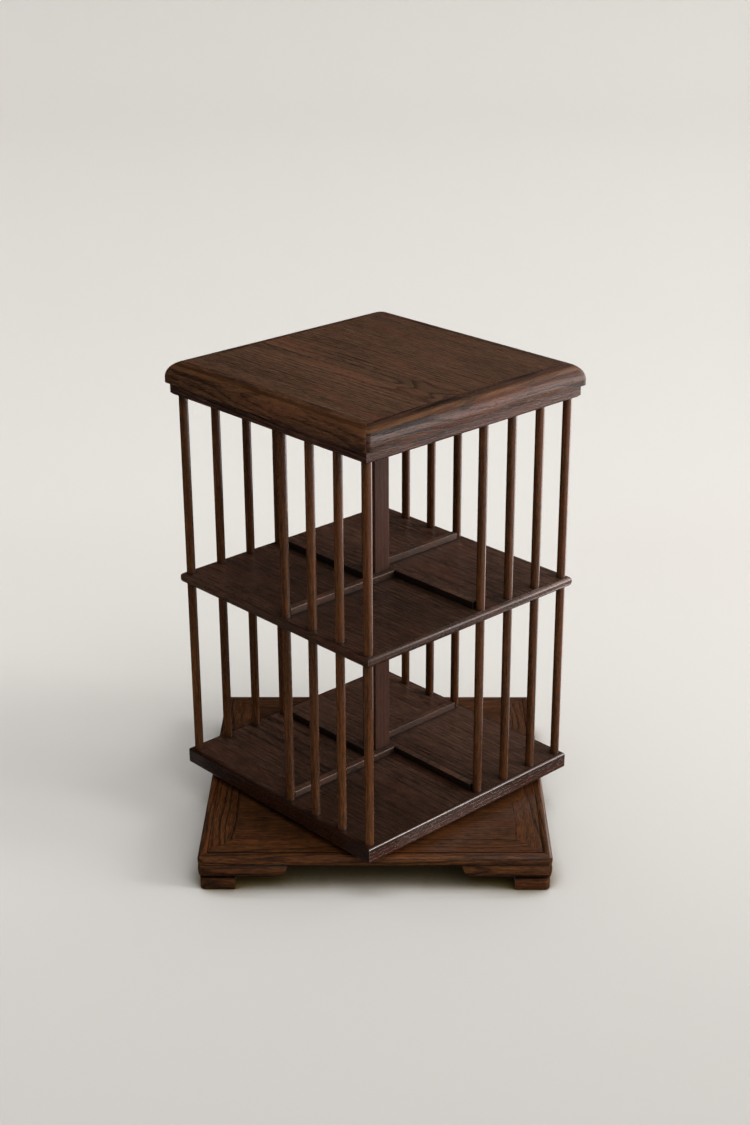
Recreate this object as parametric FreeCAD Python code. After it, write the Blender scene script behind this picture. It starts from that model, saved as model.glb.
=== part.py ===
import FreeCAD, Part
import math
import os

# Revolving bookcase. A square case of two tiers, caged by turned rods, swivels on a low moulded base.
# The case's sides lie along X and Y. The origin is on the floor under the swivel axis, +Z is up.
# A side is named by where it faces: front is -Y, right is +X, back is +Y, left is -X.

# Driving dimensions, in millimetres and degrees.
shelf_side = 376.0
lower_tier_height = 256.0
upper_tier_height = 254.5
rod_diameter = 12.0
rods_per_side = 4
rod_edge_distance = 10.5
inner_rod_offset = 21.0
post_side = 27.0
divider_width = 10.0
divider_height = 9.6

top_overhang = 7.0
top_thickness = 27.6
top_edge_radius = 21.0
top_corner_radius = 9.0
top_moulding_width = 25.0
top_ledge = 16.0
top_panel_thickness = 18.0
apron_overhang = 1.3
apron_depth = 16.9
apron_width = 30.0
apron_arris = 2.5

middle_thickness = 14.0
middle_edge_radius = 5.0
bottom_thickness = 23.0
lipping_width = 4.5
lipping_top_radius = 3.5
lipping_bottom_radius = 2.8

base_side = 466.0
base_thickness = 13.0
base_rail_width = 46.5
base_corner_radius = 10.0
base_angle = 46.5
edge_flat_inset = 13.0
edge_step = 1.2
edge_bulge_drop = 7.4
edge_foot_inset = 1.0

bracket_height = 21.6
bracket_length = 118.0
bracket_thickness = 22.0
bracket_end_reach = 26.0
bracket_end_rise = 18.5
bracket_top_inset = 3.4
bracket_bulge_height = 6.8
bracket_waist_inset = 4.6
bracket_waist_height = 18.8
bracket_foot_inset = 7.2
block_height = 17.2
block_side = 46.0
block_inset = 2.6
block_arris = 2.0

swivel_gap = 8.6
plate_side = 150.0
plate_thickness = 3.0
plate_let_in = 1.5
roller_count = 6
roller_length = 16.0
roller_circle_radius = 52.0
cage_reach = 67.0
cage_thickness = 3.0
pivot_diameter = 10.0
pivot_depth = 9.0
pivot_head_width = 17.0
pivot_head_thickness = 3.0
pivot_head_sides = 6

tongue_depth = 7.0
tongue_thickness = 4.6
tenon_side = 16.0
tenon_length = 10.0
rod_low_seat = 14.0
rod_high_seat = 9.0
small_arris = 1.0

# Clearances.
glue_gap = 0.05
running_gap = 0.05
rolling_gap = 0.05
cage_gap = 0.1
head_gap = 0.3
divider_end_gap = 0.5

# Levels, worked up from the floor.
bracket_bottom = block_height
base_bottom = bracket_bottom + bracket_height
base_top = base_bottom + base_thickness
bottom_underside = base_top + swivel_gap
bottom_top = bottom_underside + bottom_thickness
middle_underside = bottom_top + lower_tier_height
middle_top = middle_underside + middle_thickness
apron_bottom = middle_top + upper_tier_height
top_underside = apron_bottom + apron_depth
top_level = top_underside + top_thickness
panel_underside = top_level - top_panel_thickness

# Sizes that follow from the driving dimensions.
apron_side = shelf_side + 2 * apron_overhang
top_side = apron_side + 2 * top_overhang
rod_line = shelf_side / 2 - rod_edge_distance
rod_pitch = (rod_line - inner_rod_offset) / (rods_per_side - 1)
post_half = post_side / 2
tongue_bottom = (base_bottom + base_top - tongue_thickness) / 2
tongue_top = tongue_bottom + tongue_thickness
swivel_middle = (base_top + bottom_underside) / 2
lower_plate_underside = base_top - plate_let_in
lower_plate_top = lower_plate_underside + plate_thickness
upper_plate_top = bottom_underside + plate_let_in
upper_plate_underside = upper_plate_top - plate_thickness
roller_radius = (upper_plate_underside - lower_plate_top) / 2 - rolling_gap
sides = ("front", "right", "back", "left")
corners = ("front_right", "back_right", "back_left", "front_left")
corner_share = 1 - math.sqrt(0.5)
up = FreeCAD.Vector(0, 0, 1)
origin = FreeCAD.Vector(0, 0, 0)


# Plain shapes and outlines.

def box(low, high):
    size = [h - l for l, h in zip(low, high)]
    return Part.makeBox(size[0], size[1], size[2], FreeCAD.Vector(*low))


def square_block(side, bottom, top):
    return box((-side / 2, -side / 2, bottom), (side / 2, side / 2, top))


def upright_edges(shape):
    boxes = [(edge, edge.BoundBox) for edge in shape.Edges]
    return [edge for edge, limits in boxes if limits.ZLength > limits.XLength + limits.YLength]


def rounded_block(side, radius, bottom, top):
    block = square_block(side, bottom, top)
    return block.makeFillet(radius, upright_edges(block))


def round_bar(x, y, bottom, top, diameter):
    return Part.makeCylinder(diameter / 2, top - bottom, FreeCAD.Vector(x, y, bottom))


def turned(shape, angle):
    copy = shape.copy()
    copy.rotate(origin, up, angle)
    return copy


def in_section(point):
    return FreeCAD.Vector(point[0], 0, point[1])


def nose(corner, across, rise):
    # The middle of the quarter round that starts and ends at these distances from its corner.
    return corner[0] + across * corner_share, corner[1] + rise * corner_share


def section(start, steps):
    # A closed outline in the XZ plane. A step is (point,) for a line or (middle, point) for an arc.
    edges = []
    here = start
    for step in steps + [(start,)]:
        points = [in_section(p) for p in (here,) + step]
        curve = Part.Arc(*points) if len(points) == 3 else Part.LineSegment(*points)
        edges.append(curve.toShape())
        here = step[-1]
    return Part.Face(Part.Wire(edges))


def quarter_wedge(reach, bottom, top):
    # The quarter of a square that belongs to the right side, cut along its diagonals.
    points = [(0, 0), (reach, -reach), (reach, reach), (0, 0)]
    wire = Part.makePolygon([FreeCAD.Vector(x, y, bottom) for x, y in points])
    return Part.Face(wire).extrude(up * (top - bottom))


def drawn_bar(side, profile):
    # The right side's section drawn along Y.
    bar = profile.copy()
    bar.translate(FreeCAD.Vector(0, -side / 2, 0))
    return bar.extrude(FreeCAD.Vector(0, side, 0))


def mitred_rail(side, profile, bottom, top):
    # The right side's rail, mitred at both ends.
    return drawn_bar(side, profile).common(quarter_wedge(side, bottom, top))


def rounded_rail(side, radius, profile, bottom, top):
    # The right side's rail, mitred in corners that are rounded to one radius at every level.
    bar = drawn_bar(side, profile)
    wedge = quarter_wedge(side, bottom, top)
    wedge.translate(FreeCAD.Vector(radius, 0, 0))
    middle = bar.common(wedge)
    centre = FreeCAD.Vector(side / 2 - radius, side / 2 - radius, bottom)
    path = Part.makeCircle(radius, centre, up, 0, 45)
    sweep = Part.BRepOffsetAPI.MakePipeShell(Part.Wire([path]))
    sweep.setTrihedronMode(origin, up)
    sweep.add(bar.slice(FreeCAD.Vector(-1, 1, 0), -radius)[0])
    sweep.build()
    sweep.makeSolid()
    corner = sweep.shape()
    opposite = corner.mirror(origin, FreeCAD.Vector(0, 1, 0))
    return middle.fuse([corner, opposite]).removeSplitter()


def quarters(piece, start_angle):
    # The same piece four times, a quarter turn apart.
    return [turned(piece, start_angle + 90 * k) for k in range(4)]


def save(name, shape):
    shape.exportStep("parts/" + name + ".step")


# Rods, in the order: four on the front, then on the right, the back and the left.

def rod_set(bottom, top, diameter):
    # The front's rods run from the corner inwards, and each other side repeats them a quarter turn on.
    across = [rod_line - k * rod_pitch for k in range(rods_per_side)]
    front = [round_bar(x, -rod_line, bottom, top, diameter) for x in across]
    return [turned(rod, angle) for angle in (0, 90, 180, 270) for rod in front]


def rod_holes(bottom, top):
    return Part.makeCompound(rod_set(bottom, top, rod_diameter + 2 * glue_gap))


def make_rods():
    return rod_set(bottom_top - rod_low_seat, apron_bottom + rod_high_seat, rod_diameter)


# Top: a panel let into four mitred mouldings, on a mitred apron frame.

def make_top_mouldings():
    half = top_side / 2
    inside = half - top_moulding_width
    steps = [
        ((half - top_edge_radius, top_level),),
        (nose((half, top_level), -top_edge_radius, -top_edge_radius), (half, top_level - top_edge_radius)),
        ((half, top_underside),),
        ((inside - top_ledge, top_underside),),
    ]
    profile = section((inside - top_ledge, top_level), steps)
    rail = rounded_rail(top_side, top_corner_radius, profile, top_underside, top_level)
    return quarters(rail.cut(square_block(2 * inside, panel_underside, top_level)), -90)


def make_top_panel():
    panel = square_block(top_side - 2 * top_moulding_width, panel_underside, top_level)
    return panel.cut(square_block(tenon_side, panel_underside, panel_underside + tenon_length))


def make_apron_rails():
    half = apron_side / 2
    steps = [
        ((half, top_underside),),
        ((half, apron_bottom + apron_arris),),
        ((half - apron_arris, apron_bottom),),
        ((half - apron_width, apron_bottom),),
    ]
    profile = section((half - apron_width, top_underside), steps)
    rail = mitred_rail(apron_side, profile, apron_bottom, top_underside)
    holes = rod_holes(apron_bottom, apron_bottom + rod_high_seat)
    return [piece.cut(holes) for piece in quarters(rail, -90)]


# Shelves, post and dividers.

def make_middle_shelf():
    half = shelf_side / 2
    radius = middle_edge_radius
    steps = [
        ((half - radius, middle_top),),
        (nose((half, middle_top), -radius, -radius), (half, middle_top - radius)),
        ((half, middle_underside + radius),),
        (nose((half, middle_underside), -radius, radius), (half - radius, middle_underside)),
        ((half - 2 * radius, middle_underside),),
    ]
    profile = section((half - 2 * radius, middle_top), steps)
    edge = mitred_rail(shelf_side, profile, middle_underside, middle_top)
    board = square_block(shelf_side - 4 * radius, middle_underside, middle_top)
    board = board.fuse(quarters(edge, 0)).removeSplitter()
    board = board.cut(rod_holes(middle_underside, middle_top))
    return board.cut(square_block(post_side, middle_underside, middle_top))


def make_lippings():
    half = shelf_side / 2
    high, low = lipping_top_radius, lipping_bottom_radius
    steps = [
        ((half - high, bottom_top),),
        (nose((half, bottom_top), -high, -high), (half, bottom_top - high)),
        ((half, bottom_underside + low),),
        (nose((half, bottom_underside), -low, low), (half - low, bottom_underside)),
        ((half - lipping_width, bottom_underside),),
    ]
    profile = section((half - lipping_width, bottom_top), steps)
    return quarters(mitred_rail(shelf_side, profile, bottom_underside, bottom_top), -90)


def make_bottom_shelf():
    board = square_block(shelf_side - 2 * lipping_width, bottom_underside, bottom_top)
    board = board.cut(rod_holes(bottom_top - rod_low_seat, bottom_top))
    board = board.cut(square_block(tenon_side, bottom_top - tenon_length, bottom_top))
    head_room = pivot_head_thickness + 2 * head_gap
    head_recess = square_block(2 * pivot_head_width, upper_plate_top, upper_plate_top + head_room)
    plate_recess = square_block(plate_side + 2 * glue_gap, bottom_underside, upper_plate_top)
    return board.cut(head_recess).cut(plate_recess)


def make_post():
    shaft = square_block(post_side, bottom_top, panel_underside)
    tenons = square_block(tenon_side, bottom_top - tenon_length, panel_underside + tenon_length)
    return shaft.makeChamfer(small_arris, upright_edges(shaft)).fuse(tenons)


def make_dividers(floor):
    # Each strip lies along the post's face and runs out to the innermost rod, so the four make a pinwheel.
    reach = rod_line - rod_diameter / 2 - divider_end_gap
    outside = post_half + divider_width
    steps = [
        ((outside - small_arris, floor + divider_height),),
        ((outside, floor + divider_height - small_arris),),
        ((outside, floor),),
        ((post_half, floor),),
    ]
    profile = section((post_half, floor + divider_height), steps)
    profile.translate(FreeCAD.Vector(0, -reach, 0))
    front = profile.extrude(FreeCAD.Vector(0, reach + post_half, 0))
    return quarters(front, 0)


# Base: a panel tongued into four mitred rails.

def make_base_rails():
    half = base_side / 2
    inside = half - base_rail_width
    steps = [
        ((half - edge_flat_inset, base_top),),
        ((half - edge_flat_inset, base_top - edge_step),),
        ((half, base_top - edge_bulge_drop), (half - edge_foot_inset, base_bottom)),
        ((inside, base_bottom),),
        ((inside, tongue_bottom),),
        ((inside + tongue_depth, tongue_bottom),),
        ((inside + tongue_depth, tongue_top),),
        ((inside, tongue_top),),
    ]
    profile = section((inside, base_top), steps)
    rail = mitred_rail(base_side, profile, base_bottom, base_top)
    rail = rail.common(rounded_block(base_side, base_corner_radius, base_bottom, base_top))
    return quarters(rail, base_angle - 90)


def make_base_panel():
    inside = base_side - 2 * base_rail_width
    panel = square_block(inside, base_bottom, base_top)
    panel = panel.fuse(square_block(inside + 2 * tongue_depth, tongue_bottom, tongue_top))
    panel = panel.cut(square_block(plate_side + 2 * glue_gap, lower_plate_underside, base_top))
    panel = panel.cut(round_bar(0, 0, base_top - pivot_depth, base_top, pivot_diameter))
    return turned(panel, base_angle)


# Feet: an ogee bracket that returns round each corner, glued to a block that stands on the floor.

def bracket_arm():
    half = base_side / 2
    waist = base_bottom - bracket_waist_height
    foot = half - bracket_foot_inset
    hollow = (bracket_foot_inset - bracket_waist_inset, bracket_bottom - waist)
    steps = [
        ((half - bracket_top_inset, base_bottom),),
        ((half, base_bottom - bracket_bulge_height), (half - bracket_waist_inset, waist)),
        (nose((foot, waist), *hollow), (foot, bracket_bottom)),
        ((half - bracket_thickness, bracket_bottom),),
    ]
    profile = section((half - bracket_thickness, base_bottom), steps)
    return mitred_rail(base_side, profile, bracket_bottom, base_bottom)


def bracket_end():
    # What is cut from the front arm's end, so that it finishes in a long quarter round.
    half = base_side / 2
    foot = (half - bracket_length, bracket_bottom)
    middle = nose(foot, bracket_end_reach, bracket_end_rise)
    steps = [(middle, (foot[0] + bracket_end_reach, foot[1])), (foot,)]
    face = section((foot[0], foot[1] + bracket_end_rise), steps)
    face.translate(FreeCAD.Vector(0, -half, 0))
    return face.extrude(FreeCAD.Vector(0, bracket_thickness, 0))


def make_brackets():
    half = base_side / 2
    arm = bracket_arm()
    corner = turned(arm, -90).fuse(arm).removeSplitter()
    corner = corner.common(rounded_block(base_side, base_corner_radius, bracket_bottom, base_bottom))
    near = half - bracket_length
    corner = corner.common(box((near, -half, bracket_bottom), (half, -near, base_bottom)))
    end = bracket_end()
    corner = corner.cut(end).cut(end.mirror(origin, FreeCAD.Vector(1, 1, 0)))
    return quarters(corner, base_angle)


def make_blocks():
    outer = base_side / 2 - block_inset
    inner = outer - block_side
    behind = base_side / 2 - bracket_thickness
    foot = box((inner, -outer, 0), (outer, -inner, block_height))
    corner = FreeCAD.Vector(outer, -outer, block_height / 2)
    outer_edge = [e for e in foot.Edges if e.CenterOfMass.isEqual(corner, 1e-6)]
    foot = foot.makeFillet(base_corner_radius - block_inset, outer_edge)
    floor_edges = [e for e in foot.Edges if e.BoundBox.ZMax < 1e-6]
    foot = foot.makeChamfer(block_arris, floor_edges)
    post = box((inner, -behind, block_height), (behind, -inner, base_bottom))
    block = foot.fuse(post)
    return quarters(block, base_angle)


# Swivel: caged rollers run between two steel plates let into the wood, and a pivot bolt holds them together.

def make_lower_plate():
    plate = turned(square_block(plate_side, lower_plate_underside, lower_plate_top), base_angle)
    return plate.cut(round_bar(0, 0, lower_plate_underside, lower_plate_top, pivot_diameter))


def make_upper_plate():
    plate = square_block(plate_side, upper_plate_underside, upper_plate_top)
    bore_diameter = pivot_diameter + 2 * running_gap
    return plate.cut(round_bar(0, 0, upper_plate_underside, upper_plate_top, bore_diameter))


def many_sided(count, reach, bottom, top):
    corners = [turned(Part.Vertex(reach, 0, bottom), 360 / count * k).Point for k in range(count + 1)]
    return Part.Face(Part.makePolygon(corners)).extrude(up * (top - bottom))


def make_pivot():
    head_underside = upper_plate_top + head_gap
    shank = round_bar(0, 0, base_top - pivot_depth, head_underside, pivot_diameter)
    reach = pivot_head_width / 2 / math.cos(math.pi / pivot_head_sides)
    head_top = head_underside + pivot_head_thickness
    return shank.fuse(many_sided(pivot_head_sides, reach, head_underside, head_top))


def ring_of(piece):
    return Part.makeCompound([turned(piece, 360 / roller_count * k) for k in range(roller_count)])


def make_rollers():
    near = FreeCAD.Vector(roller_circle_radius - roller_length / 2, 0, swivel_middle)
    return ring_of(Part.makeCylinder(roller_radius, roller_length, near, FreeCAD.Vector(1, 0, 0)))


def make_cage():
    # One corner of the cage for each roller.
    low = swivel_middle - cage_thickness / 2
    high = swivel_middle + cage_thickness / 2
    plate = many_sided(roller_count, cage_reach, low, high)
    hole = round_bar(0, 0, low, high, pivot_diameter + 2 * cage_gap)
    reach = roller_length / 2 + cage_gap
    width = roller_radius + cage_gap
    window = box((roller_circle_radius - reach, -width, low), (roller_circle_radius + reach, width, high))
    return plate.cut(hole).cut(ring_of(window))


def build():
    os.makedirs("parts", exist_ok=True)
    save("top_panel", make_top_panel())
    for side, moulding, rail in zip(sides, make_top_mouldings(), make_apron_rails()):
        save("top_moulding_" + side, moulding)
        save("apron_rail_" + side, rail)
    for number, rod in enumerate(make_rods()):
        save("rod_%s_%d" % (sides[number // rods_per_side], number % rods_per_side + 1), rod)
    save("middle_shelf", make_middle_shelf())
    for side, low, high in zip(sides, make_dividers(bottom_top), make_dividers(middle_top)):
        save("lower_divider_" + side, low)
        save("upper_divider_" + side, high)
    for side, lipping in zip(sides, make_lippings()):
        save("bottom_lipping_" + side, lipping)
    save("centre_post", make_post())
    save("bottom_shelf", make_bottom_shelf())
    save("upper_plate", make_upper_plate())
    save("roller_cage", make_cage())
    save("rollers", make_rollers())
    save("lower_plate", make_lower_plate())
    save("pivot_bolt", make_pivot())
    save("base_panel", make_base_panel())
    for side, rail in zip(sides, make_base_rails()):
        save("base_rail_" + side, rail)
    for corner, bracket, block in zip(corners, make_brackets(), make_blocks()):
        save("foot_bracket_" + corner, bracket)
        save("foot_block_" + corner, block)


build()
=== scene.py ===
import math

import bpy
from mathutils import Matrix, Vector


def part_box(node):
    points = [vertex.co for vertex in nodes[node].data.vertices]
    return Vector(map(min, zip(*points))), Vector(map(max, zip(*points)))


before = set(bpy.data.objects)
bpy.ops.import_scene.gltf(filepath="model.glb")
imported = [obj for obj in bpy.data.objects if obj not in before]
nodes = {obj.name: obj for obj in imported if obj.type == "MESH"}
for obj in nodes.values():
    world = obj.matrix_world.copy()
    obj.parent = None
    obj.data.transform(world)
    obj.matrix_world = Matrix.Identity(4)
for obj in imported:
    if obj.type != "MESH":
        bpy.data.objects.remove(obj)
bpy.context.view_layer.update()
print("frame loaded")

# the case's sides, in the order they come going round it
sides = ("front", "right", "back", "left")


# node helpers, so that a node takes one line in the materials below

def addNode(tree, kind, **values):
    node = tree.nodes.new("ShaderNode" + kind)
    for key, value in values.items():
        setattr(node, key, value)
    return node


def feed(tree, source, target):
    # source is a socket or a plain value
    if isinstance(source, bpy.types.NodeSocket):
        tree.links.new(source, target)
    else:
        target.default_value = source


def mathNode(tree, operation, *inputs, clamp=False):
    node = addNode(tree, "Math", operation=operation, use_clamp=clamp)
    for index, source in enumerate(inputs):
        feed(tree, source, node.inputs[index])
    return node.outputs[0]


def vectorNode(tree, operation, *inputs):
    node = addNode(tree, "VectorMath", operation=operation)
    feed(tree, inputs[0], node.inputs[0])
    feed(tree, inputs[1], node.inputs["Scale" if operation == "SCALE" else 1])
    return node.outputs["Value" if operation in ("LENGTH", "DOT_PRODUCT") else "Vector"]


def axisNode(tree, vector, axis):
    # one part of a vector, axis 0 to 2
    node = addNode(tree, "SeparateXYZ")
    feed(tree, vector, node.inputs[0])
    return node.outputs[axis]


def noiseNode(tree, vector, detail=2.0, roughness=0.5):
    # the vector comes scaled, so the noise has one wave in each of its units
    node = addNode(tree, "TexNoise", noise_dimensions="3D")
    feed(tree, vector, node.inputs["Vector"])
    node.inputs["Scale"].default_value = 1.0
    node.inputs["Detail"].default_value = detail
    node.inputs["Roughness"].default_value = roughness
    node.inputs["Distortion"].default_value = 0.0
    return node.outputs["Fac"]


def rangeNode(tree, value, low, high, toLow=0.0, toHigh=1.0, smooth=False):
    node = addNode(tree, "MapRange")
    if smooth:
        node.interpolation_type = "SMOOTHSTEP"
    for index, source in enumerate((value, low, high, toLow, toHigh)):
        feed(tree, source, node.inputs[index])
    return node.outputs[0]


def mixNode(tree, factor, first, second, blend="MIX"):
    node = addNode(tree, "Mix", data_type="RGBA", blend_type=blend)
    feed(tree, factor, node.inputs[0])
    feed(tree, first, node.inputs[6])
    feed(tree, second, node.inputs[7])
    return node.outputs[2]


def floatMixNode(tree, factor, first, second):
    node = addNode(tree, "Mix", data_type="FLOAT")
    feed(tree, factor, node.inputs[0])
    feed(tree, first, node.inputs[2])
    feed(tree, second, node.inputs[3])
    return node.outputs[0]


def rampNode(tree, value, stops):
    # stops are pairs of a value and a colour
    node = addNode(tree, "ValToRGB")
    low, high = stops[0][0], stops[-1][0]
    feed(tree, rangeNode(tree, value, low, high), node.inputs[0])
    elements = node.color_ramp.elements
    while len(elements) < len(stops):
        elements.new(0.5)
    for element, (spot, colour) in zip(elements, stops):
        element.position = (spot - low) / (high - low)
        element.color = colour
    return node


def bumpNode(tree, height, strength, depth):
    node = addNode(tree, "Bump")
    node.inputs["Strength"].default_value = strength
    node.inputs["Distance"].default_value = depth
    feed(tree, height, node.inputs["Height"])
    return node.outputs["Normal"]


def newGroup(name, inputs, outputs):
    tree = bpy.data.node_groups.new(name, "ShaderNodeTree")
    for label, kind, default in inputs:
        socket = tree.interface.new_socket(label, in_out="INPUT", socket_type="NodeSocket" + kind)
        if default is not None:
            socket.default_value = default
    for label, kind in outputs:
        tree.interface.new_socket(label, in_out="OUTPUT", socket_type="NodeSocket" + kind)
    return tree, tree.nodes.new("NodeGroupInput").outputs, tree.nodes.new("NodeGroupOutput").inputs


def useGroup(tree, group, values):
    node = addNode(tree, "Group", node_tree=group)
    for label, value in values.items():
        feed(tree, value, node.inputs[label])
    return node.outputs


def newMaterial(name):
    material = bpy.data.materials.new(name)
    material.use_nodes = True
    return material, material.node_tree, material.node_tree.nodes["Principled BSDF"]


def linear(red, green, blue):
    # a colour as seen on a screen, 0 to 255, to the renderer's own scale
    def channel(value):
        value = value / 255
        return value / 12.92 if value <= 0.04045 else ((value + 0.055) / 1.055) ** 2.4
    return (channel(red), channel(green), channel(blue), 1.0)


# wood: X runs along the grain, Y across the board, Z up from its face

# how fine each part of the figure is, in waves per metre along the grain and across it
grainScale = {
    "bend": (3.5, 13.0),
    "drift": (1.0, 50.0),
    "fibre": (52.0, 640.0),
    "streak": (8.0, 150.0),
    "dash": (95.0, 950.0),
    "cloud": (2.6, 15.0),
    "blush": (6.0, 24.0),
}
eyeSpread = (26.0, 42.0, 0.0)  # an eye's oval: one over its reach along and across
bendReach = 6.0
driftTurns = 2.0  # how many rings a board's figure drifts by
yearRise = (0.0, 0.07)  # the dark line's place in a year, of 1
yearFade = (0.08, 0.5)
# the ends of a noise's usual range
fibreSpread = (0.28, 0.72)
cloudSpread = (0.3, 0.7)
streakSpread = (0.35, 0.65)
# how far each part moves the shade, where 0 is the darkest colour and 1 the lightest
shadeShare = {"plain": 0.58, "line": 0.55, "lineFibre": 0.9, "fibre": 0.42, "streak": 1.0, "cloud": 0.12}
heightShare = {"line": 0.25, "streak": 2.0, "fibre": 0.35}
pores = {"start": 0.6, "full": 0.7, "crowd": 0.12, "cover": 0.85, "roughness": 0.2}
blush = {"range": (0.5, 0.75), "cover": 0.5}
# roughness added in the darkest and the lightest shade, and between and on the streaks
shadeRoughness = (0.1, -0.05)
streakRoughness = (-0.04, 0.08)


def makeWoodGroup():
    tree, given, result = newGroup(
        "woodFigure",
        [
            ("Vector", "Vector", None),
            ("Dark", "Color", linear(22, 12, 7)),
            ("Middle", "Color", linear(52, 35, 24)),
            ("Light", "Color", linear(84, 58, 38)),
            ("Red", "Color", linear(84, 48, 32)),
            ("Ring Spacing", "Float", 0.006),
            ("Heart Depth", "Float", 0.09),
            ("Waviness", "Float", 0.004),
            ("Figure", "Float", 0.5),
            ("Pores", "Float", 0.5),
            ("Streaks", "Float", 0.1),
            ("Eye", "Vector", (0.0, 0.0, 0.0)),
            ("Eye Height", "Float", 0.0),
        ],
        [("Color", "Color"), ("Roughness", "Float"), ("Height", "Float")],
    )
    place = given["Vector"]

    def stretched(part, detail=2.0, rough=0.5):
        along, across = grainScale[part]
        return noiseNode(tree, vectorNode(tree, "MULTIPLY", place, (along, across, across)), detail, rough)

    def add(first, second):
        return mathNode(tree, "ADD", first, second)

    def times(first, second):
        return mathNode(tree, "MULTIPLY", first, second)

    def square(value):
        return mathNode(tree, "POWER", value, 2.0)

    # the rings wander slowly along the board, and swell over an eye
    bend = mathNode(tree, "SUBTRACT", stretched("bend"), 0.5)
    bend = times(times(bend, given["Waviness"]), bendReach)
    across = axisNode(tree, place, 1)
    depth = add(axisNode(tree, place, 2), given["Heart Depth"])
    radius = mathNode(tree, "SQRT", add(square(across), square(depth)))
    fromEye = vectorNode(tree, "MULTIPLY", vectorNode(tree, "SUBTRACT", place, given["Eye"]), eyeSpread)
    fromEye = vectorNode(tree, "LENGTH", fromEye, (0.0, 0.0, 0.0))
    swell = times(mathNode(tree, "EXPONENT", times(square(fromEye), -1.0)), given["Eye Height"])
    radius = add(add(radius, bend), swell)
    turn = mathNode(tree, "DIVIDE", radius, given["Ring Spacing"])
    turn = add(turn, times(stretched("drift", 1.0), driftTurns))
    phase = mathNode(tree, "FRACT", turn)
    # each year: a dark porous line, then a slow fade
    line = rangeNode(tree, phase, *yearRise, smooth=True)
    line = times(line, rangeNode(tree, phase, *yearFade, 1.0, 0.0, smooth=True))
    # fibres and pores run with the grain
    fibre = stretched("fibre", 4.0, 0.75)
    streak = stretched("streak", 3.0, 0.6)
    dash = stretched("dash", 1.0)
    # pores crowd together in the dark line
    crowd = times(line, -pores["crowd"])
    pore = rangeNode(tree, dash, add(pores["start"], crowd), add(pores["full"], crowd))
    pore = times(pore, given["Pores"])
    # shade
    share = shadeShare
    lined = times(times(line, add(share["line"], times(fibre, share["lineFibre"]))), given["Figure"])
    shade = mathNode(tree, "SUBTRACT", share["plain"], lined)
    shade = add(shade, rangeNode(tree, fibre, *fibreSpread, -share["fibre"], share["fibre"]))
    streaky = rangeNode(tree, streak, *fibreSpread, -share["streak"], share["streak"])
    streaky = times(streaky, given["Streaks"])
    shade = add(shade, streaky)
    cloud = rangeNode(tree, stretched("cloud"), *cloudSpread, -share["cloud"], share["cloud"])
    shade = mathNode(tree, "ADD", shade, cloud, clamp=True)
    # colour
    lower = mixNode(tree, rangeNode(tree, shade, 0.0, 0.5), given["Dark"], given["Middle"])
    whole = mixNode(tree, rangeNode(tree, shade, 0.5, 1.0), lower, given["Light"])
    reddish = rangeNode(tree, stretched("blush"), *blush["range"], 0.0, blush["cover"])
    whole = mixNode(tree, reddish, whole, given["Red"])
    whole = mixNode(tree, times(pore, pores["cover"]), whole, given["Dark"])
    feed(tree, whole, result["Color"])
    # dark wood and streaks are a little rougher, and pores much more
    rough = rangeNode(tree, shade, 0.0, 1.0, *shadeRoughness)
    rough = add(rough, rangeNode(tree, streak, *streakSpread, *streakRoughness))
    feed(tree, add(rough, times(pore, pores["roughness"])), result["Roughness"])
    height = times(add(pore, times(line, heightShare["line"])), -1.0)
    height = add(height, times(streaky, heightShare["streak"]))
    feed(tree, add(height, times(fibre, heightShare["fibre"])), result["Height"])
    return tree


# edge and corner: how sharp an edge or how shut a corner has to be; wear and the painted crease shade: how
# patchy
wearAndShadeMarks = {
    "patches": 90.0,
    "edge": (0.98, 0.8), "wear": (0.3, 0.65),
    "corner": (0.35, 0.9), "creaseShade": (0.2, 0.6), "leastCreaseShade": 0.75,
}


def makeWearAndShadeGroup():
    # two masks: outer edges rubbed pale, and inner corners darkened with painted shade
    tree, given, result = newGroup(
        "wearAndShade",
        [("Vector", "Vector", None), ("Edge", "Float", 0.0012), ("Reach", "Float", 0.012)],
        [("Wear", "Float"), ("Crease Shade", "Float")],
    )
    bevel = addNode(tree, "Bevel", samples=4)
    feed(tree, given["Edge"], bevel.inputs["Radius"])
    geometry = addNode(tree, "NewGeometry")
    lean = vectorNode(tree, "DOT_PRODUCT", bevel.outputs["Normal"], geometry.outputs["Normal"])
    mask = rangeNode(tree, lean, *wearAndShadeMarks["edge"])
    patches = noiseNode(tree, vectorNode(tree, "SCALE", given["Vector"], wearAndShadeMarks["patches"]), 3.0, 0.6)
    wear = mathNode(tree, "MULTIPLY", mask, rangeNode(tree, patches, *wearAndShadeMarks["wear"]))
    feed(tree, wear, result["Wear"])
    corner = addNode(tree, "AmbientOcclusion", samples=6)
    feed(tree, given["Reach"], corner.inputs["Distance"])
    shut = rangeNode(tree, corner.outputs["AO"], *wearAndShadeMarks["corner"], 1.0, 0.0)
    patchy = rangeNode(tree, patches, *wearAndShadeMarks["creaseShade"], wearAndShadeMarks["leastCreaseShade"], 1.0)
    feed(tree, mathNode(tree, "MULTIPLY", shut, patchy), result["Crease Shade"])
    return tree


# steps up or down from the low, high and crown levels, between which each part fades in or out
shoulderFades = {
    "deepIn": (-0.0004, 0.0006), "deepOut": (0.0, -0.0008),
    "goldIn": (-0.001, 0.001), "goldOut": (0.0008, -0.0006),
}
shoulderCover = {"deepShade": 0.75, "goldSheen": (0.15, 0.8)}
goldPatches = {"scale": (14.0, 160.0, 160.0), "range": (0.36, 0.66)}


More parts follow.
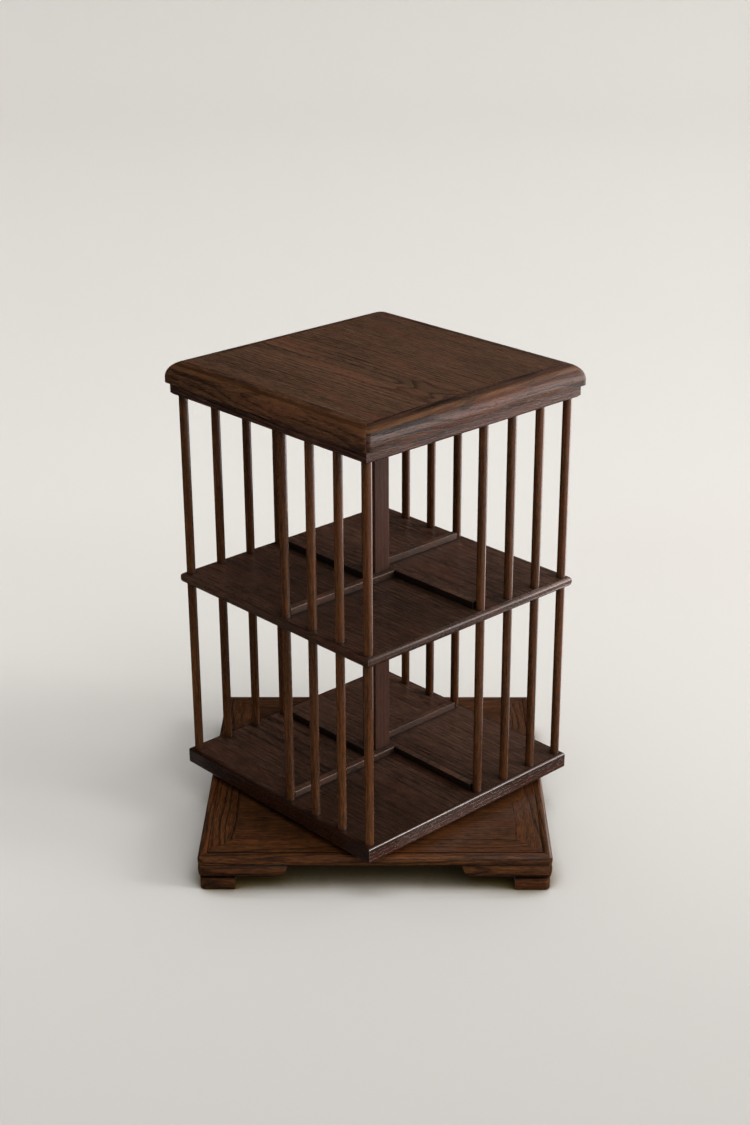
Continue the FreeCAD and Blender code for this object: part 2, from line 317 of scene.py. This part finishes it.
def makeShoulderGroup():
    # painted reflections along a moulding's shoulder: a dark band of painted shade above it, and a golden
    # painted sheen along it
    tree, given, result = newGroup(
        "shoulder",
        [
            ("Color", "Color", None),
            ("Place", "Vector", None),
            ("Grain", "Vector", None),
            ("Low", "Float", 0.0),
            ("High", "Float", 0.0),
            ("Crown", "Float", 1.0),
            ("Gold Sheen", "Color", linear(104, 68, 35)),
            ("Deep Shade", "Color", linear(54, 31, 13)),
        ],
        [("Color", "Color")],
    )
    height = axisNode(tree, given["Place"], 2)

    def fade(label, steps):
        low, high = [mathNode(tree, "ADD", given[label], step) for step in shoulderFades[steps]]
        return rangeNode(tree, height, low, high, smooth=True)

    def times(first, second):
        return mathNode(tree, "MULTIPLY", first, second)

    deepShade = times(times(fade("High", "deepIn"), shoulderCover["deepShade"]), fade("Crown", "deepOut"))
    colour = mixNode(tree, deepShade, given["Color"], given["Deep Shade"])
    patches = noiseNode(tree, vectorNode(tree, "MULTIPLY", given["Grain"], goldPatches["scale"]), 3.0, 0.6)
    patches = rangeNode(tree, patches, *goldPatches["range"], *shoulderCover["goldSheen"])
    goldSheen = times(times(fade("Low", "goldIn"), fade("High", "goldOut")), patches)
    feed(tree, mixNode(tree, goldSheen, colour, given["Gold Sheen"]), result["Color"])
    return tree


facingFront = (-0.2, -0.8)


def makeFrontGroup():
    # a mask of the faces towards the front
    tree, given, result = newGroup("frontFaces", [("Facing", "Vector", None)], [("Mask", "Float")])
    feed(tree, rangeNode(tree, axisNode(tree, given["Facing"], 1), *facingFront), result["Mask"])
    return tree


cornerDark = {"clouds": 22.0, "cloudiness": 0.25, "range": (0.05, 0.35)}


def makeCornerGroup():
    # a mask that rises, cloudily, towards the front corner of the case, where shade is painted
    tree, given, result = newGroup("frontCorner", [("Vector", "Vector", None)], [("Mask", "Float")])
    towards = vectorNode(tree, "DOT_PRODUCT", given["Vector"], (1.0, -1.0, 0.0))
    cloudy = noiseNode(tree, vectorNode(tree, "SCALE", given["Vector"], cornerDark["clouds"]), 3.0, 0.6)
    towards = mathNode(tree, "MULTIPLY_ADD", cloudy, cornerDark["cloudiness"], towards)
    feed(tree, rangeNode(tree, towards, *cornerDark["range"], smooth=True), result["Mask"])
    return tree


woodFigure = makeWoodGroup()
wearAndShade = makeWearAndShadeGroup()
shoulder = makeShoulderGroup()
frontFaces = makeFrontGroup()
frontCorner = makeCornerGroup()

# the colour of painted shade, in inner corners and on faces towards the front
paintedShadeColour = (0.003, 0.0015, 0.0008, 1.0)
wornEdge = 0.0012
woodRelief = 0.00025
creaseShadeRoughness = 0.3
facingUp = (0.3, 0.9)


def woodMaterial(name, grain, heart, look):
    # grain is "up" or a compass angle in degrees, heart the point the board's figure is centred on
    material, tree, shader = newMaterial(name)
    place = addNode(tree, "TexCoord").outputs["Object"]
    facing = addNode(tree, "TexCoord").outputs["Normal"]
    mapping = addNode(tree, "Mapping", vector_type="TEXTURE")
    feed(tree, place, mapping.inputs["Vector"])
    turn = (0.0, -math.pi / 2, 0.0) if grain == "up" else (0.0, 0.0, math.radians(grain))
    mapping.inputs["Rotation"].default_value = turn
    mapping.inputs["Location"].default_value = heart
    along = mapping.outputs["Vector"]
    figure = useGroup(tree, woodFigure, {
        "Vector": along,
        "Dark": look["dark"], "Middle": look["middle"], "Light": look["light"], "Red": look["red"],
        "Ring Spacing": look["spacing"], "Heart Depth": look["heart"], "Waviness": look["waviness"],
        "Figure": look["figure"], "Pores": look["pores"], "Streaks": look["streaks"],
        "Eye": look["eye"], "Eye Height": look["swell"],
    })
    wornAndShaded = useGroup(tree, wearAndShade, {"Vector": place, "Edge": wornEdge, "Reach": look["reach"]})
    worn = mathNode(tree, "MULTIPLY", wornAndShaded["Wear"], look["wear"])
    colour = mixNode(tree, worn, figure["Color"], look["light"])
    # painted sheen and shade along a shoulder
    if look.get("band"):
        low, high = look["band"]
        colour = useGroup(tree, shoulder, {
            "Color": colour, "Place": place, "Grain": along,
            "Low": low, "High": high, "Crown": look["crown"],
            "Gold Sheen": look["goldSheen"], "Deep Shade": look["deepShade"],
        })["Color"]
    if "shade" in look:
        # painted shade: faces towards the front are darkened, as if turned away from the light
        front = useGroup(tree, frontFaces, {"Facing": facing})["Mask"]
        colour = mixNode(tree, mathNode(tree, "MULTIPLY", front, look["shade"]), colour, paintedShadeColour)
    if "frontCornerShade" in look:
        # painted shade: the boards run darker towards the front corner
        corner = useGroup(tree, frontCorner, {"Vector": place})["Mask"]
        colour = mixNode(tree, mathNode(tree, "MULTIPLY", corner, look["frontCornerShade"]), colour, look["dark"])
    # painted shade: inner corners are darkened towards the shade colour, and made a little rougher
    creaseShaded = mathNode(tree, "MULTIPLY", wornAndShaded["Crease Shade"], look["creaseShade"])
    feed(tree, mixNode(tree, creaseShaded, colour, paintedShadeColour), shader.inputs["Base Color"])
    rough = mathNode(tree, "ADD", figure["Roughness"], look["roughness"])
    rough = mathNode(tree, "ADD", rough, mathNode(tree, "MULTIPLY", wornAndShaded["Crease Shade"], creaseShadeRoughness))
    feed(tree, rough, shader.inputs["Roughness"])
    gloss = shader.inputs["Specular IOR Level"]
    gloss.default_value = look["edgeGloss"]
    if look["gloss"] != look["edgeGloss"]:
        # level faces have another polish than upright ones
        upwards = axisNode(tree, facing, 2)
        feed(tree, rangeNode(tree, upwards, *facingUp, look["edgeGloss"], look["gloss"]), gloss)
    feed(tree, bumpNode(tree, figure["Height"], look["relief"], woodRelief), shader.inputs["Normal"])
    return material


print("materials ready")

# values that can be changed by hand, one set per kind of timber
# lengths in metres; figure, pores, streaks, wear, painted crease shade and relief run from 0 to about 1

topLook = {
    "dark": linear(30, 18, 11), "middle": linear(73, 51, 37), "light": linear(96, 69, 51),
    "red": linear(98, 56, 38),
    "spacing": 0.0046, "heart": 0.06, "waviness": 0.0014,
    "figure": 0.3, "pores": 0.6, "streaks": 0.1,
    "eye": (0.131, 0.008, 0.0), "swell": 0.0085,
    "wear": 0.15, "creaseShade": 0.5, "reach": 0.006,
    "roughness": 0.42, "gloss": 0.06, "edgeGloss": 0.2, "relief": 0.6,
}
mouldingLook = dict(
    topLook, dark=linear(20, 10, 5), middle=linear(64, 41, 27), light=linear(104, 69, 44),
    spacing=0.0055, heart=0.02, waviness=0.006, figure=0.24, streaks=0.12, swell=0.0,
    roughness=0.24, gloss=0.1, edgeGloss=0.16, relief=1.0,
    band=(0.6449, 0.6488), crown=0.6519, goldSheen=linear(86, 54, 27), deepShade=linear(54, 31, 13),
)
# the right moulding was cut from livelier wood, and its golden painted sheen runs wider and brighter
livelyLook = dict(
    mouldingLook, middle=linear(56, 35, 25), light=linear(88, 58, 41), figure=0.6, streaks=0.3,
    edgeGloss=0.13, band=(0.646, 0.6502), goldSheen=linear(98, 64, 35),
)
apronLook = dict(
    mouldingLook, middle=linear(60, 38, 29), light=linear(98, 67, 52), red=linear(84, 46, 35),
    spacing=0.004, waviness=0.004, figure=0.5, streaks=0.3, roughness=0.3, edgeGloss=0.2, band=None,
)
shelfLook = dict(
    topLook, dark=linear(18, 9, 5), middle=linear(67, 46, 35), light=linear(107, 77, 60),
    red=linear(92, 53, 38), spacing=0.006, heart=0.05, figure=0.25, streaks=0.09, swell=0.0,
    creaseShade=0.85, reach=0.012, roughness=0.2, gloss=0.12, edgeGloss=0.3,
)
# the shelves carry painted shade towards the front corner
middleShelfLook = dict(shelfLook, frontCornerShade=0.5)
bottomShelfLook = dict(shelfLook, frontCornerShade=0.65)
stripLook = dict(
    shelfLook, light=linear(96, 69, 51), middle=linear(66, 45, 33), wear=0.3, creaseShade=1.0, reach=0.016,
    roughness=0.34, gloss=0.3, edgeGloss=0.3, shade=0.7,
)
lippingLook = dict(
    shelfLook, dark=linear(16, 7, 4), middle=linear(39, 19, 10), light=linear(60, 32, 19),
    red=linear(62, 25, 14), roughness=0.16, edgeGloss=0.9, shade=0.3,
    band=(0.0622, 0.0735), crown=1.0, goldSheen=linear(70, 36, 23), deepShade=linear(46, 29, 20),
)
# only the right lipping carries the golden painted sheen and dark painted band, and the back and left ones
# are less polished
frontLippingLook = dict(lippingLook, band=None)
farLippingLook = dict(lippingLook, band=None, edgeGloss=0.35)
rodLook = {
    "dark": linear(26, 14, 6), "middle": linear(72, 42, 20), "light": linear(108, 65, 32),
    "red": linear(86, 45, 23),
    "spacing": 0.004, "heart": 0.05, "waviness": 0.001,
    "figure": 0.12, "pores": 0.5, "streaks": 0.15,
    "eye": (0.0, 0.0, 0.0), "swell": 0.0,
    "wear": 0.0, "creaseShade": 0.8, "reach": 0.01,
    "roughness": 0.14, "gloss": 0.65, "edgeGloss": 0.65, "relief": 0.25,
}
farRodLook = dict(rodLook, gloss=0.35, edgeGloss=0.35)  # less glossy at the back and left: a shaded copy of the rods' look, for their weaker highlights there
postLook = dict(
    rodLook, middle=linear(66, 43, 34), light=linear(86, 60, 49), red=linear(78, 47, 37),
    figure=0.3, wear=0.3, roughness=0.35, gloss=0.3, edgeGloss=0.15,
)
baseLook = {
    "dark": linear(19, 9, 3), "middle": linear(62, 35, 15), "light": linear(106, 63, 29),
    "red": linear(84, 41, 18),
    "spacing": 0.004, "heart": 0.03, "waviness": 0.004,
    "figure": 0.32, "pores": 0.8, "streaks": 0.17,
    "eye": (0.0, 0.0, 0.0), "swell": 0.0,
    "wear": 0.3, "creaseShade": 0.95, "reach": 0.008,
    "roughness": 0.34, "gloss": 0.2, "edgeGloss": 0.18, "relief": 0.6,
}

# edges broken on every piece but the rods, and rubbed rounder on the middle shelf and lippings
arris = {"fine": 0.0005, "rubbed": 0.0009, "segments": 2, "angle": 30, "weld": 0.00001}


def soften(piece, width):
    weld = piece.modifiers.new("weld", "WELD")
    weld.merge_threshold = arris["weld"]
    bevel = piece.modifiers.new("arris", "BEVEL")
    bevel.width = width
    bevel.segments = arris["segments"]
    bevel.limit_method = "ANGLE"
    bevel.angle_limit = math.radians(arris["angle"])
    bevel.harden_normals = True


def dress(name, material):
    piece = nodes[name]
    piece.data.materials.clear()
    piece.data.materials.append(material)
    return piece


def finishPiece(name, grain, heart, look):
    piece = dress(name, woodMaterial("wood_" + name, grain, heart, look))
    if not name.startswith("rod"):
        rubbed = name.startswith(("middle", "bottom_lipping"))
        soften(piece, arris["rubbed" if rubbed else "fine"])


baseTurn = 46.5  # the base stands turned under the case


def railGrain(side, turn, reach, level):
    # grain angle and heart of a rail on that side, reach out from the middle
    angle = 90 * sides.index(side) + turn
    outward = math.radians(angle - 90)
    return angle, (reach * math.cos(outward), reach * math.sin(outward), level)


def railLook(piece, side, look):
    if piece == "top_moulding_" and side == "right":
        return livelyLook
    if piece == "bottom_lipping_" and side != "right":
        return frontLippingLook if side == "front" else farLippingLook
    return look


# each rail: the heart's reach and level, look, slot, and how far its grain is turned
rails = (
    ("top_moulding_", 0.18, 0.64, mouldingLook, "top_wood", 3.0),
    ("apron_rail_", 0.17, 0.60, apronLook, "shelf_wood", 0.0),
    ("lower_divider_", 0.1, 0.09, stripLook, "shelf_wood", 0.0),
    ("upper_divider_", 0.1, 0.36, stripLook, "shelf_wood", 0.0),
    ("bottom_lipping_", 0.18, 0.08, lippingLook, "shelf_wood", 0.0),
    ("base_rail_", 0.2, 0.052, baseLook, "base_wood", baseTurn),
)
# rods and feet are cut one after the other from a long stick
rodHeart = 0.02
rodShift = {"side": 0.37, "rod": 0.3}
footShift = {"corner": 0.6, "block": 0.3}

finishPiece("top_panel", 0, (0.0, -0.043, 0.653), topLook)
for number, side in enumerate(sides):
    for piece, reach, level, look, slot, turn in rails:
        angle, heart = railGrain(side, turn, reach, level)
        finishPiece(piece + side, angle, heart, railLook(piece, side, look))
    for place in range(4):
        name = "rod_%s_%d" % (side, place + 1)
        low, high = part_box(name)
        middle = (low + high) / 2
        heart = (middle.x, middle.y + rodHeart, rodShift["side"] * number + rodShift["rod"] * place)
        look = rodLook if side in ("front", "right") else farRodLook
        finishPiece(name, "up", heart, look)
finishPiece("middle_shelf", 0, (0.2, 0.05, 0.353), middleShelfLook)
finishPiece("bottom_shelf", 0, (0.5, -0.06, 0.083), bottomShelfLook)
finishPiece("centre_post", "up", (0.03, 0.04, 0.0), postLook)
finishPiece("base_panel", baseTurn, (0.02, -0.03, 0.052), baseLook)
for number, corner in enumerate(("front_right", "back_right", "back_left", "front_left")):
    along = footShift["corner"] * number
    finishPiece("foot_bracket_" + corner, baseTurn, (along, 0.0, 0.035), baseLook)
    along += footShift["block"]
    finishPiece("foot_block_" + corner, baseTurn, (along, 0.0, 0.01), baseLook)

metalLook = {
    "dark": (0.42, 0.41, 0.39, 1.0), "light": (0.56, 0.55, 0.53, 1.0),
    "stain": 60.0, "brush": (300.0, 300.0, 4000.0),
    "roughness": (0.28, 0.46), "relief": 0.3, "depth": 0.0001,
}


def metalMaterial(look):
    material, tree, shader = newMaterial("turnedSteel")
    place = addNode(tree, "TexCoord").outputs["Object"]
    stain = noiseNode(tree, vectorNode(tree, "SCALE", place, look["stain"]), 4.0, 0.6)
    brush = noiseNode(tree, vectorNode(tree, "MULTIPLY", place, look["brush"]), 2.0, 0.6)
    feed(tree, mixNode(tree, stain, look["dark"], look["light"]), shader.inputs["Base Color"])
    shader.inputs["Metallic"].default_value = 1.0
    feed(tree, rangeNode(tree, brush, *cloudSpread, *look["roughness"]), shader.inputs["Roughness"])
    feed(tree, bumpNode(tree, brush, look["relief"], look["depth"]), shader.inputs["Normal"])
    return material


plasticLook = {
    "dark": linear(196, 190, 172), "light": linear(214, 208, 190),
    "cloud": 40.0, "grain": 1500.0,
    "roughness": (0.42, 0.55), "relief": 0.2, "depth": 0.0001,
}


def plasticMaterial(look):
    material, tree, shader = newMaterial("cagePlastic")
    place = addNode(tree, "TexCoord").outputs["Object"]
    cloud = noiseNode(tree, vectorNode(tree, "SCALE", place, look["cloud"]), 3.0, 0.5)
    grain = noiseNode(tree, vectorNode(tree, "SCALE", place, look["grain"]), 2.0, 0.5)
    feed(tree, mixNode(tree, cloud, look["dark"], look["light"]), shader.inputs["Base Color"])
    feed(tree, rangeNode(tree, grain, *cloudSpread, *look["roughness"]), shader.inputs["Roughness"])
    feed(tree, bumpNode(tree, grain, look["relief"], look["depth"]), shader.inputs["Normal"])
    return material


steel = metalMaterial(metalLook)
for name in ("upper_plate", "lower_plate", "rollers", "pivot_bolt"):
    dress(name, steel)
dress("roller_cage", plasticMaterial(plasticLook))
print("pieces finished")

# camera

cameraLook = {
    "eye": (1.6977, -1.5756, 1.3471),
    "forward": (-0.67561, 0.62670, -0.38832),
    "level": (0.68008, 0.73314, 0.0),
    "roll": -0.27,
    "lens": 59.40,
    "sensor": 36,
}


def makeCamera(look):
    eye = Vector(look["eye"])
    forward = Vector(look["forward"]).normalized()
    level = Vector(look["level"]).normalized()
    above = level.cross(forward)
    roll = math.radians(look["roll"])
    rightward = level * math.cos(roll) + above * math.sin(roll)
    upward = -level * math.sin(roll) + above * math.cos(roll)
    lens = bpy.data.cameras.new("camera")
    lens.sensor_fit = "AUTO"
    lens.sensor_width = look["sensor"]
    lens.lens = look["lens"]
    camera = bpy.data.objects.new("camera", lens)
    camera.matrix_world = Matrix((
        (rightward.x, upward.x, -forward.x, eye.x),
        (rightward.y, upward.y, -forward.y, eye.y),
        (rightward.z, upward.z, -forward.z, eye.z),
        (0.0, 0.0, 0.0, 1.0),
    ))
    bpy.context.scene.collection.objects.link(camera)
    return camera, forward


camera, forward = makeCamera(cameraLook)
bpy.context.scene.camera = camera
# level directions: away from the eye, and to the right
flatForward = Vector((forward.x, forward.y, 0.0)).normalized()
flatRight = Vector((flatForward.y, -flatForward.x, 0.0))
print("camera placed")

# floor and wall in one sweep, square to the camera

sweepShape = {"front": -3.5, "back": 0.95, "radius": 0.7, "height": 3.5, "half": 3.5, "steps": 24}


def makeSweep(shape):
    line = [(shape["front"], 0.0), (shape["back"], 0.0)]
    for step in range(1, shape["steps"] + 1):
        angle = math.pi / 2 * step / shape["steps"]
        line.append((
            shape["back"] + shape["radius"] * math.sin(angle),
            shape["radius"] * (1 - math.cos(angle)),
        ))
    line.append((shape["back"] + shape["radius"], shape["height"]))
    points = []
    for reach, height in line:
        for across in (-shape["half"], shape["half"]):
            points.append(flatForward * reach + flatRight * across + Vector((0, 0, height)))
    faces = [(2 * i, 2 * i + 1, 2 * i + 3, 2 * i + 2) for i in range(len(line) - 1)]
    mesh = bpy.data.meshes.new("sweep")
    mesh.from_pydata(points, [], faces)
    for face in mesh.polygons:
        face.use_smooth = True
    sweep = bpy.data.objects.new("sweep", mesh)
    bpy.context.scene.collection.objects.link(sweep)
    return sweep


sweep = makeSweep(sweepShape)

# tones: places along the floor and up the wall, and how bright the paper is painted there, standing in for
# the fall of light along the sweep
# the under colour: painted shadow that the paper's colour is multiplied by where the base stands close
# over it
# mirror: places from left to right, and how bright the paper glows there to glossy rays, a painted
# reflection of the room
# windowSpan: where that glow holds a painted window reflection, from square to the right round towards the
# back
paperLook = {
    "tones": (
        (-1.6, 182), (-0.9, 189), (-0.5, 196), (-0.1, 208.5), (0.3, 213), (0.7, 213), (1.1, 212),
        (1.5, 212), (1.8, 215.5), (2.0, 220.5), (2.2, 227.5), (2.4, 237), (2.6, 235),
    ),
    "warmth": (3.5, 8.5),
    "leftRight": (0.965, 1.033),
    "leftRightReach": 0.7,
    "under": (0.21, 0.15, 0.045, 1.0),
    "underReach": 0.065,
    "underRange": (0.4, 0.76),
    "roughness": 0.9,
    "gloss": 0.1,
    "mirror": ((-1.2, 0.02), (-0.3, 0.02), (0.3, 0.08), (0.8, 0.45), (2.5, 1.0)),
    "windowSpan": (0.1, 0.3, 0.7, 1.0),
    "leastAcross": 0.05,
    "window": 7.0,
}
glowTint = (1.0, 0.89, 0.86, 1.0)


def windowMask(tree, across, ahead, look):
    near, full, fade, gone = look["windowSpan"]
    turn = mathNode(tree, "DIVIDE", ahead, mathNode(tree, "MAXIMUM", across, look["leastAcross"]))
    mask = rangeNode(tree, turn, near, full, smooth=True)
    return mathNode(tree, "MULTIPLY", mask, rangeNode(tree, turn, gone, fade, smooth=True))


def paperMaterial(look):
    material, tree, shader = newMaterial("paper")
    place = addNode(tree, "TexCoord").outputs["Object"]
    path = addNode(tree, "LightPath").outputs
    reach = vectorNode(tree, "DOT_PRODUCT", place, tuple(flatForward + Vector((0, 0, 1))))
    ahead = vectorNode(tree, "DOT_PRODUCT", place, tuple(flatForward))
    across = vectorNode(tree, "DOT_PRODUCT", place, tuple(flatRight))
    # the paper itself with painted light and shade: a little darker towards the left, and a dark brown
    # painted shadow where the base stands close
    green, blue = look["warmth"]
    tones = [(spot, linear(tone, tone - green, tone - blue)) for spot, tone in look["tones"]]
    ramp = rampNode(tree, reach, tones)
    ramp.color_ramp.interpolation = "B_SPLINE"
    side = look["leftRightReach"]
    falling = rangeNode(tree, across, -side, side, *look["leftRight"])
    paper = vectorNode(tree, "SCALE", ramp.outputs[0], falling)
    close = addNode(tree, "AmbientOcclusion", samples=8)
    close.inputs["Distance"].default_value = look["underReach"]
    openAir = rangeNode(tree, close.outputs["AO"], *look["underRange"])
    under = mixNode(tree, 1.0, paper, look["under"], "MULTIPLY")
    feed(tree, mixNode(tree, openAir, under, paper), shader.inputs["Base Color"])
    shader.inputs["Roughness"].default_value = look["roughness"]
    shader.inputs["Specular IOR Level"].default_value = look["gloss"]
    # painted reflection: to glossy rays the paper glows like the room's bright side and a window, seen
    # only in reflections
    tints = [(spot, tuple(tone * part for part in glowTint[:3]) + (1.0,)) for spot, tone in look["mirror"]]
    glow = addNode(tree, "Emission")
    feed(tree, rampNode(tree, across, tints).outputs[0], glow.inputs["Color"])
    window = windowMask(tree, across, ahead, look)
    feed(tree, mathNode(tree, "MULTIPLY_ADD", window, look["window"], 1.0), glow.inputs["Strength"])
    swap = addNode(tree, "MixShader")
    feed(tree, path["Is Glossy Ray"], swap.inputs[0])
    tree.links.new(shader.outputs[0], swap.inputs[1])
    tree.links.new(glow.outputs[0], swap.inputs[2])
    # the wall can be seen through from behind, so that the back of the case shows
    behind = addNode(tree, "NewGeometry").outputs["Backfacing"]
    openWall = addNode(tree, "MixShader")
    feed(tree, mathNode(tree, "MULTIPLY", behind, path["Is Camera Ray"]), openWall.inputs[0])
    tree.links.new(swap.outputs[0], openWall.inputs[1])
    tree.links.new(addNode(tree, "BsdfTransparent").outputs[0], openWall.inputs[2])
    tree.links.new(openWall.outputs[0], tree.nodes["Material Output"].inputs["Surface"])
    return material


sweep.data.materials.append(paperMaterial(paperLook))

# light: the world is brighter overhead and to the right; the polish sees only the bright side,
# and beyond the sweep the room looks like the paper

roomLight = {
    "level": 0.31, "fromAbove": 0.72, "fromRight": 0.32, "least": 0.03,
    "mirror": 0.02, "mirrorRight": 1.0, "mirrorRange": (0.2, 0.9),
    "window": 9.0, "windowAcross": (0.75, 0.95), "windowRise": (0.52, 0.12),
    "tint": (0.97, 0.985, 1.0, 1.0),
    "beyond": 0.61, "beyondTint": (1.0, 0.97, 0.92, 1.0),
}


def lightRoom(tree, look):
    towardsSky = addNode(tree, "TexCoord").outputs["Generated"]
    path = addNode(tree, "LightPath").outputs
    upwards = axisNode(tree, towardsSky, 2)
    right = vectorNode(tree, "DOT_PRODUCT", towardsSky, tuple(flatRight))
    level = mathNode(tree, "MULTIPLY_ADD", upwards, look["fromAbove"], look["level"])
    level = mathNode(tree, "MULTIPLY_ADD", right, look["fromRight"], level)
    level = mathNode(tree, "MAXIMUM", level, look["least"])
    mirrorEnds = (look["mirror"], look["mirrorRight"])
    mirror = rangeNode(tree, right, *look["mirrorRange"], *mirrorEnds, smooth=True)
    window = rangeNode(tree, right, *look["windowAcross"], smooth=True)
    low = rangeNode(tree, upwards, *look["windowRise"], smooth=True)
    window = mathNode(tree, "MULTIPLY", window, low)
    mirror = mathNode(tree, "MULTIPLY_ADD", window, look["window"], mirror)
    strength = floatMixNode(tree, path["Is Glossy Ray"], level, mirror)
    strength = floatMixNode(tree, path["Is Camera Ray"], strength, look["beyond"])
    tint = mixNode(tree, path["Is Glossy Ray"], look["tint"], glowTint)
    tint = mixNode(tree, path["Is Camera Ray"], tint, look["beyondTint"])
    sky = tree.nodes["Background"]
    feed(tree, tint, sky.inputs["Color"])
    feed(tree, strength, sky.inputs["Strength"])


world = bpy.data.worlds.new("room")
bpy.context.scene.world = world
world.use_nodes = True
lightRoom(world.node_tree, roomLight)

# lamps: height and swing in degrees, swing from the right towards the viewer; wide is how soft
lamps = {
    "key": {"height": 27, "swing": 12, "wide": 18, "strength": 1.3, "colour": (1.0, 0.985, 0.97)},
    "fill": {"height": 52, "swing": 48, "wide": 55, "strength": 1.1, "colour": (1.0, 1.0, 1.0)},
}
lampDistance = 4


def makeLamp(name, look):
    sun = bpy.data.lights.new(name, "SUN")
    sun.energy = look["strength"]
    sun.angle = math.radians(look["wide"])
    sun.color = look["colour"]
    rise, swing = math.radians(look["height"]), math.radians(look["swing"])
    source = (
        flatForward * -math.cos(rise) * math.sin(swing)
        + flatRight * math.cos(rise) * math.cos(swing)
        + Vector((0, 0, math.sin(rise)))
    )
    lamp = bpy.data.objects.new(name, sun)
    lamp.location = source * lampDistance
    lamp.rotation_euler = (-source).to_track_quat("-Z", "Y").to_euler()
    bpy.context.scene.collection.objects.link(lamp)


for name, look in lamps.items():
    makeLamp(name, look)
print("stage lit")

bpy.context.scene.view_settings.view_transform = "Standard"
